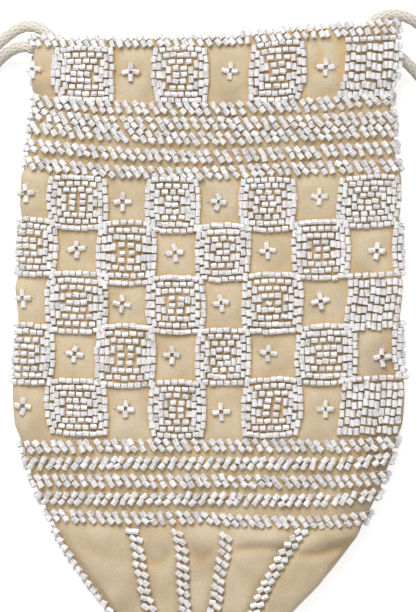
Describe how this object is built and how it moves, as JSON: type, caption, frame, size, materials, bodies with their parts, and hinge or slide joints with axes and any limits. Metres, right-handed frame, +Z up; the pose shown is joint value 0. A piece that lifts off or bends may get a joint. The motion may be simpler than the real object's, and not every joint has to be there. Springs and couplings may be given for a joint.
{
  "type": "beaded drawstring pouch",
  "caption": "Velvet drawstring pouch with a pointed lower end, covered in tube-bead checks, flowers and ropes, lying flat with its cords out at both sides.",
  "frame": {"origin": "Middle of the pouch's outline, without its free cords, on the surface it lies on.", "axes": "+X across the pouch, to the right as its front is seen from above; +Y along the pouch, from its pointed lower end towards its mouth; +Z up, out of the pouch's front."},
  "size_m": [0.2184, 0.2503, 0.0245],
  "materials": {
    "velvet": "short champagne pile, matt with a soft edge sheen",
    "satin_lining": "smooth satin weave",
    "satin_bead": "opaque satin white tube beads with a faint pearl tint",
    "cotton_cord": "fine off-white braid"
  },
  "bodies": {
    "root": {"back_casing": "satin_lining", "back_mouth_edging": "satin_bead", "bead_ray_1": "satin_bead", "bead_ray_10": "satin_bead", "bead_ray_2": "satin_bead", "bead_ray_3": "satin_bead", "bead_ray_4": "satin_bead", "bead_ray_5": "satin_bead", "bead_ray_6": "satin_bead", "bead_ray_7": "satin_bead", "bead_ray_8": "satin_bead", "bead_ray_9": "satin_bead", "cord_in_back_casing": "cotton_cord", "cord_in_front_casing": "cotton_cord", "front_casing": "satin_lining", "front_mouth_edging": "satin_bead", "left_knot": "cotton_cord", "left_lower_strand": "cotton_cord", "left_upper_strand": "cotton_cord", "lower_bead_rope_1": "satin_bead", "lower_bead_rope_2": "satin_bead", "lower_bead_rope_3": "satin_bead", "lower_bead_rope_4": "satin_bead", "lower_bead_rope_5": "satin_bead", "right_knot": "cotton_cord", "right_lower_strand": "cotton_cord", "right_upper_strand": "cotton_cord", "satin_lining": "satin_lining", "upper_bead_rope_1": "satin_bead", "upper_bead_rope_2": "satin_bead", "upper_bead_rope_3": "satin_bead", "upper_bead_rope_4": "satin_bead", "upper_bead_rope_5": "satin_bead", "velvet_back_panel": "velvet", "velvet_front_panel": "velvet"}
  },
  "joints": []
}
